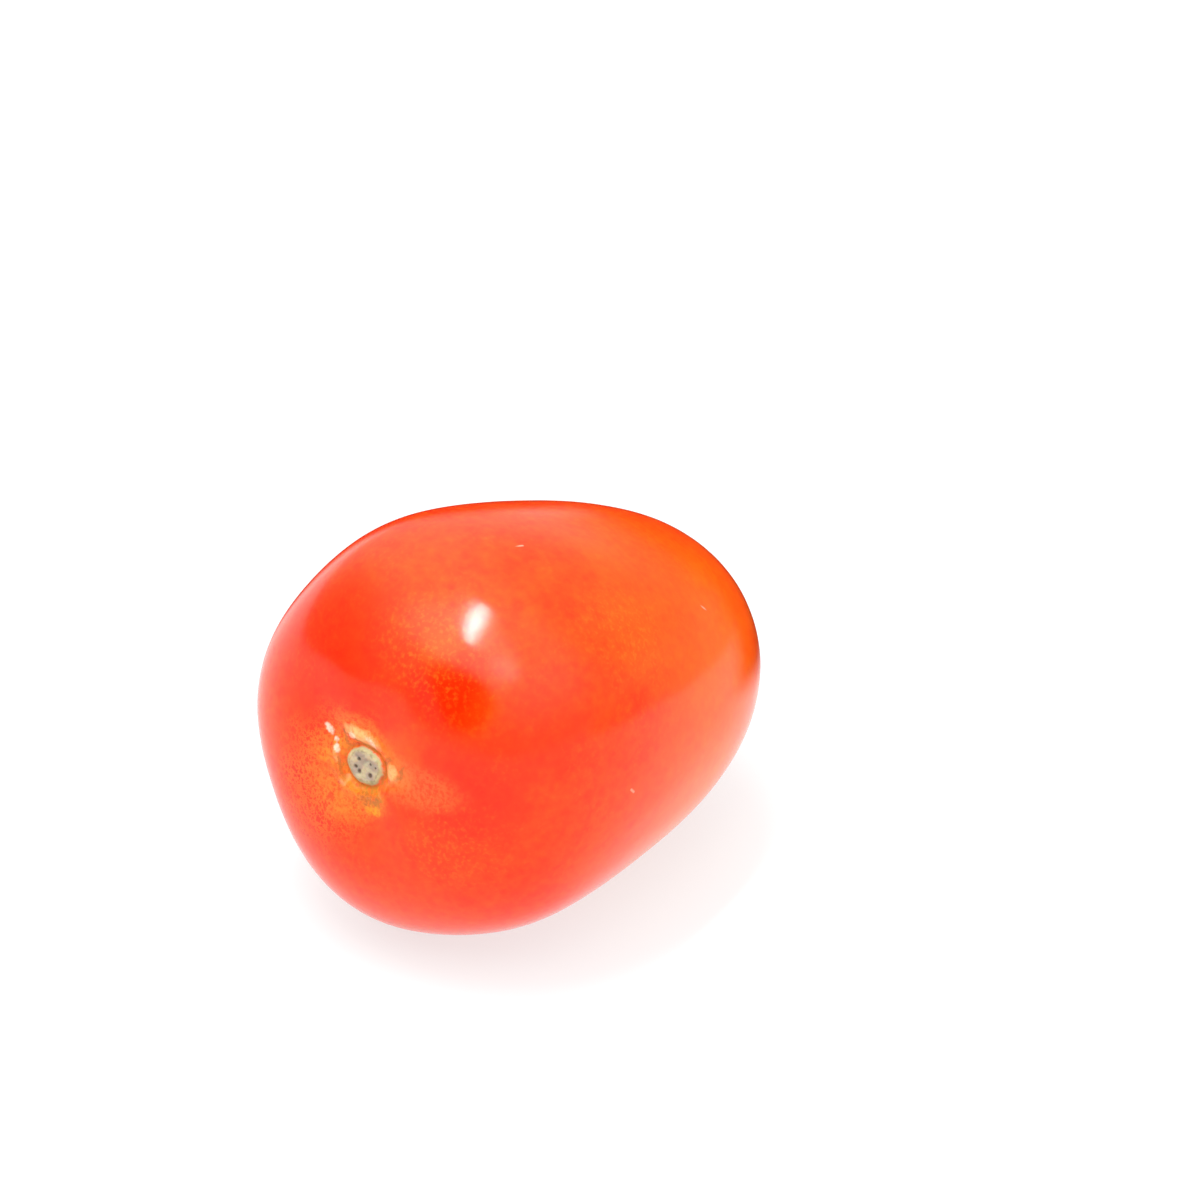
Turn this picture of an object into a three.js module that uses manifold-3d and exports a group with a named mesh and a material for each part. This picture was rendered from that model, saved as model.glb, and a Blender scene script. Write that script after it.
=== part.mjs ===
// A ripe plum tomato, grown as one piece and lying on its side, as picked: no calyx and no stalk.
// Millimetres, +Z up. The long axis runs along X, with the stem end towards -X and tipped up a little.
// The origin is on the small flat spot that the fruit rests on, straight under its centre of mass.

import * as THREE from "three";
import { mergeVertices } from "three/addons/utils/BufferGeometryUtils.js";
import Module from "manifold-3d";

// Body: an egg curve turned round the long axis
const HALF_LENGTH = 32.7;
const NOMINAL_RADIUS = 24.4;
const STEM_FULLNESS = 0.22; // how much wider the stem half is than the blossom half
const END_BLUNTNESS = 0.3; // how much blunter both ends are than an ellipse's
const POLE_OFFSET = -0.9; // the stem pole sits this far to one side of the long axis
const BOW = -0.4; // how far the middle bows to the other side
const STEM_LEAN = -0.11; // slope of the stem end's rings, which turns the scar sideways
const STEM_TILT = THREE.MathUtils.degToRad(10.8); // how the fruit lies: stem end tipped up

// Section: shares of the radius, at each place round the long axis
const OVAL = 0.021; // the section is taller than wide
const OVAL_TURN = THREE.MathUtils.degToRad(102.7);
const CHAMBER_LOBES = 0.021; // swelling over the three seed chambers
const CHAMBER_COUNT = 3;
const SHOULDER_LOBES = 0.022; // soft lobes round the stem end's shoulder
const SHOULDER_COUNT = 5;
const SHOULDER_PLACE = 0.6; // where the shoulder is, from 0 at mid length to 1 at the stem pole
const SHOULDER_WIDTH = 0.35;

// Stem end: a hollow with a corky oval scar at its bottom
const HOLLOW_DEPTH = 2.5;
const HOLLOW_RADIUS = 7.9;
const FURROW_DEPTH = 0.35; // soft furrows run down into the hollow between the shoulder's lobes
const FURROW_REACH = 8.5;
const SCAR_HALF_WIDTH = 2.55;
const SCAR_HALF_HEIGHT = 2.25;
const SCAR_TURN = THREE.MathUtils.degToRad(5.5);
const SCAR_RISE = 0.4; // the cork stands this far above the skin round it
const SCAR_DISH = 0.2; // its middle is this far below its rim
const GROOVE_DEPTH = 0.3; // the ring-shaped groove between cork and skin
const COLLAR_RISE = 0.2; // the puffed skin just outside the groove

// Blossom end: a low blunt tip
const TIP_RISE = 0.5;
const TIP_RADIUS = 4;

// The flat spot that it rests on
const REST_CUT = 0.45;

// How finely the faces follow the form, with the polar angles where the bands of rings end
const SEGMENTS = 64;
const SCAR_RINGS = 13;
const HOLLOW_RINGS = 8;
const BODY_RINGS = 23;
const TIP_RINGS = 5;
const SCAR_ANGLE = 0.125;
const HOLLOW_ANGLE = 0.42;
const BODY_ANGLE = 2.85;

const SKIN_COLOUR = 0xee3a20;
const SKIN_ROUGHNESS = 0.25;

const bell = (distance, width) => Math.exp(-((distance / width) ** 2));

// Distance of the skin from the long axis, at polar angle t from the stem pole and angle phi round it.
function radiusAt(t, phi) {
  const along = Math.cos(t);
  const egg = 1 + STEM_FULLNESS * along + END_BLUNTNESS * along ** 2;
  const oval = OVAL * Math.cos(2 * (phi - OVAL_TURN));
  const chambers = CHAMBER_LOBES * Math.sin(CHAMBER_COUNT * phi) * Math.sin(t);
  const shoulder = bell(along - SHOULDER_PLACE, SHOULDER_WIDTH);
  const lobes = SHOULDER_LOBES * Math.cos(SHOULDER_COUNT * phi) * shoulder;
  return NOMINAL_RADIUS * Math.sin(t) * egg * (1 + oval + chambers + lobes);
}

// Distance from the scar's middle, counted in scar radii, so that 1 is the edge of the cork.
function scarDistance(radius, phi) {
  const wide = (radius * Math.cos(phi - SCAR_TURN)) / SCAR_HALF_WIDTH;
  const high = (radius * Math.sin(phi - SCAR_TURN)) / SCAR_HALF_HEIGHT;
  return Math.hypot(wide, high);
}

// Height of the cork, its groove and its collar over the plain hollow.
function scarRelief(radius, phi) {
  const edge = scarDistance(radius, phi);
  const cork = SCAR_RISE / (1 + edge ** 12);
  const dish = SCAR_DISH * bell(edge, 0.6);
  const groove = GROOVE_DEPTH * bell(edge - 1.12, 0.2);
  const collar = COLLAR_RISE * bell(edge - 1.65, 0.35);
  return cork - dish - groove + collar;
}

// Depth of the hollow at the stem end, with its furrows.
function hollowDepth(radius, phi) {
  const furrows = 0.5 - 0.5 * Math.cos(SHOULDER_COUNT * phi);
  const reach = (radius / FURROW_REACH) ** 2;
  const fade = reach * Math.exp(1 - reach);
  return HOLLOW_DEPTH * bell(radius, HOLLOW_RADIUS) + FURROW_DEPTH * furrows * fade;
}

// One point of the skin, in the part's frame before it is set down.
function skinPoint(t, phi) {
  const along = Math.cos(t);
  const radius = radiusAt(t, phi);
  const sideways = radius * Math.cos(phi);
  const upwards = radius * Math.sin(phi);
  const towardsStem = along ** 2 * (0.5 + 0.5 * Math.tanh(2 * along));
  let x = -HALF_LENGTH * along + STEM_LEAN * sideways * towardsStem;
  if (along > 0) x += hollowDepth(radius, phi) - scarRelief(radius, phi);
  else x += TIP_RISE * bell(radius, TIP_RADIUS);
  const bend = POLE_OFFSET * along ** 3 + BOW * (along ** 2 - 1 / 3);
  return new THREE.Vector3(x, sideways + bend, upwards);
}

// Polar angles of the rings, close together on the scar and in the hollow and wide on the body.
function ringAngles() {
  const angles = [];
  const addBand = (from, to, count) => {
    for (let i = 0; i < count; i++) angles.push(from + ((to - from) * i) / count);
  };
  addBand(0, SCAR_ANGLE, SCAR_RINGS);
  addBand(SCAR_ANGLE, HOLLOW_ANGLE, HOLLOW_RINGS);
  addBand(HOLLOW_ANGLE, BODY_ANGLE, BODY_RINGS);
  addBand(BODY_ANGLE, Math.PI, TIP_RINGS);
  return angles.slice(1);
}

// The whole skin as one closed surface: a fan at each pole and strips of triangles between.
function fruitGeometry() {
  const angles = ringAngles();
  const points = [skinPoint(0, 0)];
  for (const t of angles) {
    for (let k = 0; k < SEGMENTS; k++) {
      points.push(skinPoint(t, (2 * Math.PI * k) / SEGMENTS));
    }
  }
  points.push(skinPoint(Math.PI, 0));

  const last = points.length - 1;
  const at = (ring, k) => 1 + ring * SEGMENTS + (k % SEGMENTS);
  const faces = [];
  for (let k = 0; k < SEGMENTS; k++) {
    faces.push(0, at(0, k + 1), at(0, k));
    for (let ring = 0; ring + 1 < angles.length; ring++) {
      faces.push(at(ring, k), at(ring, k + 1), at(ring + 1, k));
      faces.push(at(ring, k + 1), at(ring + 1, k + 1), at(ring + 1, k));
    }
    faces.push(at(angles.length - 1, k), at(angles.length - 1, k + 1), last);
  }
  return new THREE.BufferGeometry().setFromPoints(points).setIndex(faces);
}

// The centre of volume, from the tetrahedra between the faces and the frame's origin.
function centreOfVolume(geometry) {
  const place = geometry.getAttribute("position");
  const corner = (i) => new THREE.Vector3().fromBufferAttribute(place, geometry.index.getX(i));
  const sum = new THREE.Vector3();
  let volume = 0;
  for (let i = 0; i < geometry.index.count; i += 3) {
    const [a, b, c] = [corner(i), corner(i + 1), corner(i + 2)];
    const share = a.dot(b.clone().cross(c)) / 6;
    volume += share;
    sum.addScaledVector(a.add(b).add(c), share / 4);
  }
  return sum.divideScalar(volume);
}

// Tips the fruit as it lies, and sets it down with the cut's height below the ground plane.
function setDown(geometry) {
  geometry.rotateY(STEM_TILT);
  geometry.computeBoundingBox();
  const middle = centreOfVolume(geometry);
  return geometry.translate(-middle.x, -middle.y, -geometry.boundingBox.min.z - REST_CUT);
}

const wasm = await Module();
wasm.setup();

// A closed three.js geometry as a solid that can be cut.
function solidFrom(geometry) {
  const bare = geometry.clone();
  bare.deleteAttribute("normal");
  bare.deleteAttribute("uv");
  const merged = mergeVertices(bare, 1e-4);
  const vertProperties = merged.getAttribute("position").array;
  const triVerts = new Uint32Array(merged.index.array);
  return new wasm.Manifold(new wasm.Mesh({ numProp: 3, vertProperties, triVerts }));
}

// The solid's faces as a three.js geometry.
function geometryFrom(solid) {
  const { vertProperties, triVerts } = solid.getMesh();
  const geometry = new THREE.BufferGeometry();
  geometry.setAttribute("position", new THREE.BufferAttribute(vertProperties, 3));
  geometry.setIndex(new THREE.BufferAttribute(triVerts, 1));
  geometry.computeVertexNormals();
  return geometry;
}

// The fruit with everything below the ground plane cut off flat.
function restingFruit() {
  const ground = new THREE.BoxGeometry(4 * HALF_LENGTH, 4 * HALF_LENGTH, HALF_LENGTH);
  ground.translate(0, 0, -HALF_LENGTH / 2);
  return geometryFrom(solidFrom(setDown(fruitGeometry())).subtract(solidFrom(ground)));
}

const skin = new THREE.MeshStandardMaterial({
  color: SKIN_COLOUR,
  roughness: SKIN_ROUGHNESS,
  metalness: 0,
});

const tomato = new THREE.Mesh(restingFruit(), skin);
tomato.name = "tomato";

const group = new THREE.Group();
group.add(tomato);

export default group;
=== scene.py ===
"""A ripe plum tomato on its side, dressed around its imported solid.

The visible skin repeats the solid's own formulas on a much finer net, with the relief that the solid
is too coarse for: the pitted cork of the stem scar, the pads that the calyx left round it and the
faint unevenness of the skin. Places round the scar are given in the stem end's own plane, in
millimetres sideways and upwards from the scar's middle; other places are in the row frame.
"""

import logging
import math
from dataclasses import dataclass
from enum import Enum

import bpy
import numpy as np
from mathutils import Matrix, Vector, noise


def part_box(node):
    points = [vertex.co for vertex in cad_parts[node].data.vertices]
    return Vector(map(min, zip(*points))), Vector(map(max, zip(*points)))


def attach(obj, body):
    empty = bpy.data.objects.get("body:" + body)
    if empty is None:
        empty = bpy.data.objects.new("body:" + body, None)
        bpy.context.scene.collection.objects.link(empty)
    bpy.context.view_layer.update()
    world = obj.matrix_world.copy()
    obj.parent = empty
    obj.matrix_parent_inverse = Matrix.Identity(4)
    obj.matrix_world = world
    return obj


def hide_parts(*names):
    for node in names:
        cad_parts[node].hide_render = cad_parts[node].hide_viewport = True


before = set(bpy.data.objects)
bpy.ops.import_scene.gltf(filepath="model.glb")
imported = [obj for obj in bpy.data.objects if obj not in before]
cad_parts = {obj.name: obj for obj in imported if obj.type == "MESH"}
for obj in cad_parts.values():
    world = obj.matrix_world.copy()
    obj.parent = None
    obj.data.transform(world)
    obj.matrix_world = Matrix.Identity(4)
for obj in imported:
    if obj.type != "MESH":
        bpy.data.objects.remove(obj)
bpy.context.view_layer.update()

MM = 0.001
TOMATO_NODE = "tomato"
BODY = "root"
FULL_TURN = 2 * math.pi

Colour = tuple[float, float, float]
Place = tuple[float, float, float]
Span = tuple[float, float]
Numbers = np.ndarray

log = logging.getLogger("tomato")


class Seed(Enum):
    """Which noise a mark reads, so that no two marks share one."""

    RIPE_BROAD = 1.5
    SPECK_ZONES = 3.3
    RIPE_GRAIN = 5.2
    RIPE_BLOTCHES = 7.1
    SPECKS = 8.4
    WAX = 9.4
    SKIN_BUMP = 12.2
    CORK_EDGE = 21.0
    DULL_EDGE = 23.0
    NET_LINES = 41.0
    BLOTCH_GRAIN = 42.0
    NET_EDGE = 43.0
    NET_DARK = 45.0
    PAD_GRAIN = 47.0
    CORK_GRAIN = 51.0
    TIP_EDGE = 61.0
    CORK_BUMP = 71.0
    DULL_BUMP = 73.0
    SIDEWAYS_BROAD = 81.0
    SIDEWAYS_FINE = 84.0
    UPWARDS_BROAD = 87.0
    UPWARDS_FINE = 90.0


class Value:
    """A number that varies over a surface, used in Python expressions that add Math nodes."""

    def __init__(self, graph: "Graph", socket: bpy.types.NodeSocket) -> None:
        """Wraps one output socket of a graph."""
        self.graph = graph
        self.socket = socket

    def maths(self, operation: str, *terms: "Value | float") -> "Value":
        """The result of a new Math node with this operation and these inputs, in order."""
        node = self.graph.node("ShaderNodeMath", {"operation": operation}, dict(enumerate(terms)))
        return Value(self.graph, node.outputs[0])

    def __add__(self, other: "Value | float") -> "Value":
        """The sum of this and another number."""
        return self.maths("ADD", self, other)

    def __radd__(self, other: float) -> "Value":
        """The sum of a plain number and this."""
        return self.maths("ADD", other, self)

    def __sub__(self, other: "Value | float") -> "Value":
        """This less another number."""
        return self.maths("SUBTRACT", self, other)

    def __rsub__(self, other: float) -> "Value":
        """A plain number less this."""
        return self.maths("SUBTRACT", other, self)

    def __mul__(self, other: "Value | float") -> "Value":
        """This times another number."""
        return self.maths("MULTIPLY", self, other)

    def __rmul__(self, other: float) -> "Value":
        """A plain number times this."""
        return self.maths("MULTIPLY", other, self)

    def __truediv__(self, other: "Value | float") -> "Value":
        """This divided by another number."""
        return self.maths("DIVIDE", self, other)

    def __pow__(self, power: int) -> "Value":
        """This to a power. A square is a product, which takes numbers below 0 too."""
        return self.maths("MULTIPLY", self, self) if power == 2 else self.maths("POWER", self, power)

    def root(self) -> "Value":
        """The square root."""
        return self.maths("SQRT", self)

    def size(self) -> "Value":
        """The number without its sign."""
        return self.maths("ABSOLUTE", self)

    def least(self, other: "Value | float") -> "Value":
        """The smaller of this and another number."""
        return self.maths("MINIMUM", self, other)

    def most(self, other: "Value | float") -> "Value":
        """The larger of this and another number."""
        return self.maths("MAXIMUM", self, other)

    def rise(self, start: float, end: float) -> "Value":
        """A smooth step from 0 to 1.

        Args:
            start: Where the step begins. It may be past the end, for a step that falls.
            end: Where the step is done.

        Returns:
            A number from 0 to 1.
        """
        node = self.graph.node(
            "ShaderNodeMapRange",
            {"interpolation_type": "SMOOTHSTEP"},
            {"Value": self, "From Min": start, "From Max": end, "To Min": 0.0, "To Max": 1.0},
        )
        return Value(self.graph, node.outputs["Result"])

    def bell(self, width: float) -> "Value":
        """A bell curve, 1 where this is 0 and about a third where it is a width away."""
        return self.maths("EXPONENT", (self / width) ** 2 * -1)


class Graph:
    """A node tree, with one method that adds any node."""

    def __init__(self, tree: bpy.types.NodeTree) -> None:
        """Empties a material's or world's node tree and keeps it."""
        self.tree = tree
        self.tree.nodes.clear()

    def node(
        self,
        kind: str,
        settings: dict[str, object] | None = None,
        sockets: dict[int | str, object] | None = None,
    ) -> bpy.types.Node:
        """Adds one node.

        Args:
            kind: The node's type.
            settings: Its properties by name, set before its sockets.
            sockets: Inputs by place, identifier or name, each a link or a constant.

        Returns:
            The node.
        """
        made = self.tree.nodes.new(kind)
        for name, setting in (settings or {}).items():
            setattr(made, name, setting)
        for key, given in (sockets or {}).items():
            target = self.input(made, key)
            source = given.socket if isinstance(given, Value) else given
            if isinstance(source, bpy.types.NodeSocket):
                self.tree.links.new(source, target)
            else:
                target.default_value = source
        return made

    @staticmethod
    def input(node: bpy.types.Node, key: int | str) -> bpy.types.NodeSocket:
        """Finds an input by its place, its identifier or its name."""
        if isinstance(key, int):
            return node.inputs[key]
        return next((s for s in node.inputs if s.identifier == key), None) or node.inputs[key]

    def vector(self, operation: str, *terms: object) -> bpy.types.NodeSocket:
        """The vector that a Vector Math node gives for these inputs."""
        node = self.node("ShaderNodeVectorMath", {"operation": operation}, dict(enumerate(terms)))
        return node.outputs["Vector"]

    def scaled(self, vector: object, amount: Value | float) -> bpy.types.NodeSocket:
        """A vector times a number."""
        sockets = {0: vector, "Scale": amount}
        return self.node("ShaderNodeVectorMath", {"operation": "SCALE"}, sockets).outputs["Vector"]

    def measure(self, operation: str, first: object, second: object) -> Value:
        """The number that a Vector Math node gives for two vectors, such as their distance."""
        node = self.node("ShaderNodeVectorMath", {"operation": operation}, {0: first, 1: second})
        return Value(self, node.outputs["Value"])

    def mix(self, amount: Value | float, under: object, over: object) -> bpy.types.NodeSocket:
        """Lays one colour over another.

        Args:
            amount: How much of the upper colour shows, from 0 to 1.
            under: The lower colour, a socket or a plain colour.
            over: The upper colour, a socket or a plain colour.

        Returns:
            The mixed colour.
        """
        sockets = {"Factor_Float": amount, "A_Color": self.colour(under), "B_Color": self.colour(over)}
        node = self.node("ShaderNodeMix", {"data_type": "RGBA", "blend_type": "MIX"}, sockets)
        return next(s for s in node.outputs if s.identifier == "Result_Color")

    @staticmethod
    def colour(given: object) -> object:
        """A plain colour with the fourth number that a colour socket takes."""
        return (*given, 1.0) if isinstance(given, tuple) else given

    def blend(self, amount: Value, low: Value | float, high: Value | float) -> Value:
        """The number that lies between two numbers by an amount from 0 to 1."""
        node = self.node("ShaderNodeMix", {}, {"Factor_Float": amount, "A_Float": low, "B_Float": high})
        return Value(self, node.outputs[0])

    def cloud(self, place: object, size: float, seed: Seed, detail: float = 2.0) -> Value:
        """Soft noise.

        Args:
            place: The point that it is read at, in millimetres.
            size: The size of its patches, in millimetres.
            seed: Which noise it is.
            detail: How many finer layers it has.

        Returns:
            A number from 0 to 1, mostly near the middle.
        """
        node = self.node(
            "ShaderNodeTexNoise",
            {"noise_dimensions": "4D"},
            {"Vector": place, "W": seed.value, "Scale": 1 / size, "Detail": detail, "Roughness": 0.55},
        )
        return Value(self, node.outputs[0])

    def uneven(self, place: object, size: float, seed: Seed, detail: float = 2.0) -> Value:
        """The same noise round 0, from a half below to a half above."""
        return self.cloud(place, size, seed, detail) - 0.5

    def axes(self, point: object) -> list[Value]:
        """The three coordinates of a point."""
        parts = self.node("ShaderNodeSeparateXYZ", {}, {0: point})
        return [Value(self, part) for part in parts.outputs]


def new_material(name: str) -> tuple[bpy.types.Material, Graph]:
    """A new material of this name, and the empty graph of its nodes."""
    made = bpy.data.materials.new(name)
    made.use_nodes = True
    return made, Graph(made.node_tree)


@dataclass(frozen=True)
class Oval:
    """An oval in the stem end's plane, in millimetres from the scar's middle, turned by degrees."""

    sideways: float
    upwards: float
    half_length: float
    half_width: float
    turn: float = 0.0

    def distance(self, sideways: "Value | Numbers", upwards: "Value | Numbers") -> "Value | Numbers":
        """How far a place is from the oval's middle, counted in its own half sizes and squared.

        Args:
            sideways: The place's first coordinate, as arrays or as values of a graph.
            upwards: Its second coordinate.

        Returns:
            The squared distance, which is 1 on the oval's edge, in the same kind of number.
        """
        turn = math.radians(self.turn)
        cosine, sine = math.cos(turn), math.sin(turn)
        off_side = sideways - self.sideways
        off_up = upwards - self.upwards
        long = (off_side * cosine + off_up * sine) / self.half_length
        wide = (off_up * cosine - off_side * sine) / self.half_width
        return long**2 + wide**2


@dataclass(frozen=True)
class Pad:
    """A small raised pad that the calyx left beside the scar. Its rise is in millimetres."""

    oval: Oval
    rise: float
    paleness: float = 1.0


@dataclass(frozen=True)
class Pit:
    """A small dark pit in the cork, in millimetres in the stem plane."""

    sideways: float
    upwards: float
    radius: float
    depth: float


def bell(distance: Numbers, width: float) -> Numbers:
    """A bell curve, 1 at no distance and about a third at one width."""
    return np.exp(-((distance / width) ** 2))


@dataclass(frozen=True)
class FruitForm:
    """The outer form of the fruit, by the same formulas and sizes as the solid's.

    Angles run from the stem pole along the fruit, and round its long axis. Sizes are in metres, except
    that the dish, the groove and the collar have their places and reaches in scar radii.
    """

    half_length: float = 32.7 * MM
    nominal_radius: float = 24.4 * MM
    stem_fullness: float = 0.22
    end_bluntness: float = 0.3
    pole_offset: float = -0.9 * MM
    bow: float = -0.4 * MM
    stem_lean: float = -0.11
    stem_tilt: float = math.radians(10.8)
    oval: float = 0.021
    oval_turn: float = math.radians(102.7)
    chamber_lobes: float = 0.021
    chamber_count: int = 3
    shoulder_lobes: float = 0.022
    shoulder_count: int = 5
    shoulder_place: float = 0.6
    shoulder_width: float = 0.35
    hollow_depth: float = 2.5 * MM
    hollow_radius: float = 7.9 * MM
    furrow_depth: float = 0.35 * MM
    furrow_reach: float = 8.5 * MM
    scar_half_width: float = 2.55 * MM
    scar_half_height: float = 2.25 * MM
    scar_turn: float = math.radians(5.5)
    scar_rise: float = 0.4 * MM
    scar_dish: float = 0.2 * MM
    dish_reach: float = 0.6
    groove_depth: float = 0.3 * MM
    groove_place: float = 1.12
    groove_reach: float = 0.2
    collar_rise: float = 0.2 * MM
    collar_place: float = 1.65
    collar_reach: float = 0.35
    tip_rise: float = 0.5 * MM
    tip_radius: float = 4 * MM

    def radius_at(self, polar: Numbers, around: Numbers) -> Numbers:
        """Distance of the skin from the long axis.

        Args:
            polar: Polar angles from the stem pole.
            around: Angles round the long axis.

        Returns:
            The distances.
        """
        along = np.cos(polar)
        egg = 1 + self.stem_fullness * along + self.end_bluntness * along**2
        oval = self.oval * np.cos(2 * (around - self.oval_turn))
        chambers = self.chamber_lobes * np.sin(self.chamber_count * around) * np.sin(polar)
        shoulder = bell(along - self.shoulder_place, self.shoulder_width)
        lobes = self.shoulder_lobes * np.cos(self.shoulder_count * around) * shoulder
        return self.nominal_radius * np.sin(polar) * egg * (1 + oval + chambers + lobes)

    def scar_distance(self, sideways: object, upwards: object) -> object:
        """Distance from the scar's middle in scar radii, so that 1 is the edge of the cork.

        Args:
            sideways: First coordinate in the stem plane, an array or a value of a graph.
            upwards: Second coordinate.

        Returns:
            The distance squared, in the same kind of number.
        """
        cosine, sine = math.cos(self.scar_turn), math.sin(self.scar_turn)
        wide = (sideways * cosine + upwards * sine) / self.scar_half_width
        high = (upwards * cosine - sideways * sine) / self.scar_half_height
        return wide**2 + high**2

    def scar_relief(self, sideways: Numbers, upwards: Numbers) -> Numbers:
        """Height of the cork, its groove and its collar over the plain hollow."""
        edge = np.sqrt(self.scar_distance(sideways, upwards))
        cork = self.scar_rise / (1 + edge**12)
        dish = self.scar_dish * bell(edge, self.dish_reach)
        groove = self.groove_depth * bell(edge - self.groove_place, self.groove_reach)
        collar = self.collar_rise * bell(edge - self.collar_place, self.collar_reach)
        return cork - dish - groove + collar

    def hollow_at(self, radius: Numbers, around: Numbers) -> Numbers:
        """Depth of the hollow at the stem end, with its furrows."""
        furrows = 0.5 - 0.5 * np.cos(self.shoulder_count * around)
        reach = (radius / self.furrow_reach) ** 2
        fade = reach * np.exp(1 - reach)
        return self.hollow_depth * bell(radius, self.hollow_radius) + self.furrow_depth * furrows * fade

    def bend_at(self, along: Numbers) -> Numbers:
        """How far sideways the fruit's middle line lies."""
        return self.pole_offset * along**3 + self.bow * (along**2 - 1 / 3)

    def skin_points(self, polar: Numbers, around: Numbers) -> Numbers:
        """Points of the skin in the fruit's own frame, before it is tipped and set down.

        Args:
            polar: Polar angles from the stem pole.
            around: Angles round the long axis.

        Returns:
            One row of three coordinates for each point.
        """
        along = np.cos(polar)
        radius = self.radius_at(polar, around)
        sideways = radius * np.cos(around)
        upwards = radius * np.sin(around)
        towards_stem = along**2 * (0.5 + 0.5 * np.tanh(2 * along))
        x = -self.half_length * along + self.stem_lean * sideways * towards_stem
        hollow = self.hollow_at(radius, around) - self.scar_relief(sideways, upwards)
        tip = self.tip_rise * bell(radius, self.tip_radius)
        x += np.where(along > 0, hollow, tip)
        return np.stack([x, sideways + self.bend_at(along), upwards], axis=-1)


@dataclass(frozen=True)
class FineRelief:
    """What the fine net adds to the solid's form. Sizes are in metres."""

    pads: tuple[Pad, ...] = (
        Pad(Oval(0.75, 3.55, 2.6, 0.9, 12), 0.15),
        Pad(Oval(-3.95, 0.5, 1.1, 0.8, 60), 0.18),
        Pad(Oval(-1.2, -3.1, 1.4, 0.6, 12), 0.06, 0.0),
        Pad(Oval(2.4, -2.7, 0.9, 0.5, -30), 0.10, 0.55),
        Pad(Oval(3.9, 0.3, 1.2, 0.5, 80), 0.10, 0.45),
    )
    pits: tuple[Pit, ...] = (
        Pit(0.89, 0.63, 0.22, 0.16),
        Pit(-1.01, -0.84, 0.26, 0.18),
        Pit(-0.84, 0.53, 0.15, 0.10),
        Pit(1.17, -0.40, 0.20, 0.12),
        Pit(0.58, -0.84, 0.26, 0.12),
        Pit(-1.67, 0.40, 0.13, 0.08),
    )
    moat_share: float = 0.3
    moat_place: float = 1.45
    moat_width: float = 0.25
    stem_share: float = 0.6
    cork_grain: float = 0.05 * MM
    cork_grain_size: float = 0.45 * MM
    cork_grain_seed: float = 4.0
    crumple: float = 0.08 * MM
    crumple_size: float = 1.2 * MM
    crumple_seed: float = 9.0
    crumple_reach: float = 6.5 * MM
    wrinkle: float = 0.06 * MM
    wrinkle_size: float = 0.55 * MM
    wrinkle_seed: float = 14.0
    wrinkle_reach: float = 4.6 * MM
    wave: float = 0.05 * MM
    wave_size: float = 9 * MM
    wave_seed: float = 2.0
    ripple: float = 0.012 * MM
    ripple_size: float = 2.6 * MM
    ripple_seed: float = 6.0
    rest_rounding: float = 0.1 * MM

    @staticmethod
    def uneven(points: Numbers, size: float, seed: float) -> Numbers:
        """Smooth noise of a size from -1 to 1 at each point, shifted by a seed."""
        shift = np.array([seed, -seed, 2 * seed])
        return np.array([noise.noise(Vector(place)) for place in points / size + shift])

    def stem_heights(self, points: Numbers, form: FruitForm) -> Numbers:
        """Height of the pads, the pits and the crumpled cork and skin round the scar.

        Args:
            points: Points near the stem pole, in the fruit's own frame.
            form: The fruit's form.

        Returns:
            One height over the plain form for each point.
        """
        sideways = (points[:, 1] - form.bend_at(np.array(1.0))) / MM
        upwards = points[:, 2] / MM
        height = np.zeros(len(points))
        for pad in self.pads:
            away = pad.oval.distance(sideways, upwards)
            height += pad.rise * np.exp(-(away**1.5))
            height -= self.moat_share * pad.rise * bell(np.sqrt(away) - self.moat_place, self.moat_width)
        for pit in self.pits:
            away = np.hypot(sideways - pit.sideways, upwards - pit.upwards)
            height -= pit.depth * bell(away, pit.radius)
        height *= MM
        edge = np.sqrt(form.scar_distance(sideways * MM, upwards * MM))
        grain = self.uneven(points, self.cork_grain_size, self.cork_grain_seed) * self.cork_grain
        crumple = self.uneven(points, self.crumple_size, self.crumple_seed) * self.crumple
        wrinkle = self.uneven(points, self.wrinkle_size, self.wrinkle_seed) * self.wrinkle
        radius = np.hypot(sideways, upwards) * MM
        crumple *= bell(radius, self.crumple_reach)
        wrinkle *= bell(radius, self.wrinkle_reach)
        return height + grain / (1 + edge**12) + crumple + wrinkle

    def offsets(self, points: Numbers, form: FruitForm) -> Numbers:
        """How far each point of the skin moves from the plain form.

        Args:
            points: Points of the skin in the fruit's own frame.
            form: The fruit's form.

        Returns:
            One row of three lengths for each point.
        """
        outwards = points / np.linalg.norm(points, axis=1)[:, None]
        moved = self.uneven(points, self.wave_size, self.wave_seed) * self.wave
        moved += self.uneven(points, self.ripple_size, self.ripple_seed) * self.ripple
        offsets = outwards * moved[:, None]
        near = points[:, 0] < -self.stem_share * form.half_length
        offsets[near, 0] -= self.stem_heights(points[near], form)
        return offsets

    def rested(self, heights: Numbers) -> Numbers:
        """Heights over the floor, with what would be below it flattened onto it."""
        return (heights + np.hypot(heights, self.rest_rounding)) / 2


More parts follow.
